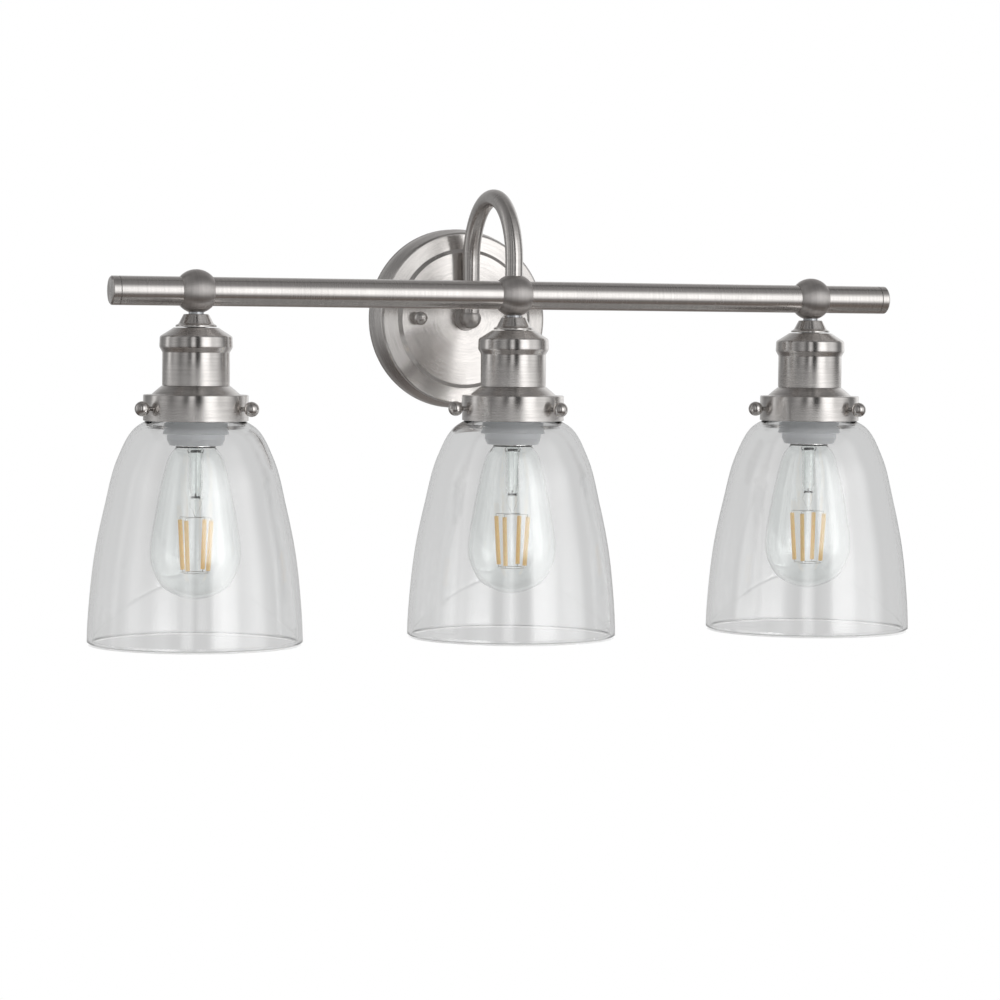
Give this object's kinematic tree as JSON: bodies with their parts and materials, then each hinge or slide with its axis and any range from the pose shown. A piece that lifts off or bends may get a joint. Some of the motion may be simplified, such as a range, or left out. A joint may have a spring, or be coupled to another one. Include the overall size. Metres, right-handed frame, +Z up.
{
  "type": "vanity light bar",
  "caption": "Wall light bar: a tube on a gooseneck arm and round backplate carries drop lamp heads with clear glass bell shades, thumbscrew fitters and clear filament bulbs.",
  "frame": {"origin": "centre of the backplate on the wall plane, midway between the two slots for the box screws", "axes": "+X along the crossbar, +Y into the wall, +Z up"},
  "size_m": [0.5808, 0.195, 0.3033],
  "materials": {
    "brushed_nickel": "fine brushed nickel plate",
    "satin_nickel": "satin nickel plate",
    "zinc_steel": "zinc-plated steel",
    "green_screw": "green dyed zinc plate",
    "black_insulation": "matte wire insulation",
    "white_insulation": "matte wire insulation",
    "green_insulation": "matte wire insulation",
    "clear_glass": "clear polished glass",
    "pale_plastic": "pale moulded lampholder",
    "brass_contacts": "plain stamped brass",
    "bulb_glass": "clear thin glass",
    "bulb_cap_metal": "rolled screw shell",
    "filament": "phosphor-coated filament stick, unlit"
  },
  "bodies": {
    "fixture": {"mounting_bracket": "zinc_steel", "bracket_studs": "zinc_steel", "ground_screw": "green_screw", "canopy": "brushed_nickel", "arm_collar": "satin_nickel", "arm_elbow": "satin_nickel", "arm_nipple": "zinc_steel", "arm_locknut": "zinc_steel", "arm": "brushed_nickel", "crossbar": "brushed_nickel", "end_caps": "satin_nickel", "lamp_nipples": "zinc_steel", "lamp_locknuts": "zinc_steel", "black_leads": "black_insulation", "white_leads": "white_insulation", "ground_wire": "green_insulation", "bar_ball_left": "satin_nickel", "neck_cone_left": "brushed_nickel", "socket_cup_left": "brushed_nickel", "fitter_left": "brushed_nickel", "shade_left": "clear_glass", "socket_body_left": "pale_plastic", "socket_contacts_left": "brass_contacts", "bar_ball_centre": "satin_nickel", "neck_cone_centre": "brushed_nickel", "socket_cup_centre": "brushed_nickel", "fitter_centre": "brushed_nickel", "shade_centre": "clear_glass", "socket_body_centre": "pale_plastic", "socket_contacts_centre": "brass_contacts", "bar_ball_right": "satin_nickel", "neck_cone_right": "brushed_nickel", "socket_cup_right": "brushed_nickel", "fitter_right": "brushed_nickel", "shade_right": "clear_glass", "socket_body_right": "pale_plastic", "socket_contacts_right": "brass_contacts"},
    "cap_nut_left": {"cap_nut_left": "satin_nickel"},
    "cap_nut_right": {"cap_nut_right": "satin_nickel"},
    "bulb_left": {"bulb_glass_left": "bulb_glass", "bulb_cap_left": "bulb_cap_metal", "bulb_stem_left": "bulb_glass", "bulb_filaments_left": "filament"},
    "bulb_centre": {"bulb_glass_centre": "bulb_glass", "bulb_cap_centre": "bulb_cap_metal", "bulb_stem_centre": "bulb_glass", "bulb_filaments_centre": "filament"},
    "bulb_right": {"bulb_glass_right": "bulb_glass", "bulb_cap_right": "bulb_cap_metal", "bulb_stem_right": "bulb_glass", "bulb_filaments_right": "filament"},
    "thumbscrew_left_1": {"thumbscrew_left_1": "satin_nickel"},
    "thumbscrew_left_2": {"thumbscrew_left_2": "satin_nickel"},
    "thumbscrew_left_3": {"thumbscrew_left_3": "satin_nickel"},
    "thumbscrew_centre_1": {"thumbscrew_centre_1": "satin_nickel"},
    "thumbscrew_centre_2": {"thumbscrew_centre_2": "satin_nickel"},
    "thumbscrew_centre_3": {"thumbscrew_centre_3": "satin_nickel"},
    "thumbscrew_right_1": {"thumbscrew_right_1": "satin_nickel"},
    "thumbscrew_right_2": {"thumbscrew_right_2": "satin_nickel"},
    "thumbscrew_right_3": {"thumbscrew_right_3": "satin_nickel"}
  },
  "joints": [
    {"name": "cap_nut_left_unscrew", "type": "slide", "parent": "fixture", "child": "cap_nut_left", "axis": [0, -1, 0], "range_m": [0, 0.008]},
    {"name": "cap_nut_right_unscrew", "type": "slide", "parent": "fixture", "child": "cap_nut_right", "axis": [0, -1, 0], "range_m": [0, 0.008]},
    {"name": "bulb_left_unscrew", "type": "slide", "parent": "fixture", "child": "bulb_left", "axis": [0, 0, -1], "range_m": [0, 0.027]},
    {"name": "bulb_centre_unscrew", "type": "slide", "parent": "fixture", "child": "bulb_centre", "axis": [0, 0, -1], "range_m": [0, 0.027]},
    {"name": "bulb_right_unscrew", "type": "slide", "parent": "fixture", "child": "bulb_right", "axis": [0, 0, -1], "range_m": [0, 0.027]},
    {"name": "thumbscrew_left_1_loosen", "type": "slide", "parent": "fixture", "child": "thumbscrew_left_1", "axis": [-0.9563, -0.2924, 0], "range_m": [0, 0.004]},
    {"name": "thumbscrew_left_2_loosen", "type": "slide", "parent": "fixture", "child": "thumbscrew_left_2", "axis": [0.7314, -0.682, 0], "range_m": [0, 0.004]},
    {"name": "thumbscrew_left_3_loosen", "type": "slide", "parent": "fixture", "child": "thumbscrew_left_3", "axis": [0.225, 0.9744, 0], "range_m": [0, 0.004]},
    {"name": "thumbscrew_centre_1_loosen", "type": "slide", "parent": "fixture", "child": "thumbscrew_centre_1", "axis": [-1, 0, 0], "range_m": [0, 0.004]},
    {"name": "thumbscrew_centre_2_loosen", "type": "slide", "parent": "fixture", "child": "thumbscrew_centre_2", "axis": [0.5, -0.866, 0], "range_m": [0, 0.004]},
    {"name": "thumbscrew_centre_3_loosen", "type": "slide", "parent": "fixture", "child": "thumbscrew_centre_3", "axis": [0.5, 0.866, 0], "range_m": [0, 0.004]},
    {"name": "thumbscrew_right_1_loosen", "type": "slide", "parent": "fixture", "child": "thumbscrew_right_1", "axis": [-1, 0, 0], "range_m": [0, 0.004]},
    {"name": "thumbscrew_right_2_loosen", "type": "slide", "parent": "fixture", "child": "thumbscrew_right_2", "axis": [0.5, -0.866, 0], "range_m": [0, 0.004]},
    {"name": "thumbscrew_right_3_loosen", "type": "slide", "parent": "fixture", "child": "thumbscrew_right_3", "axis": [0.5, 0.866, 0], "range_m": [0, 0.004]}
  ]
}
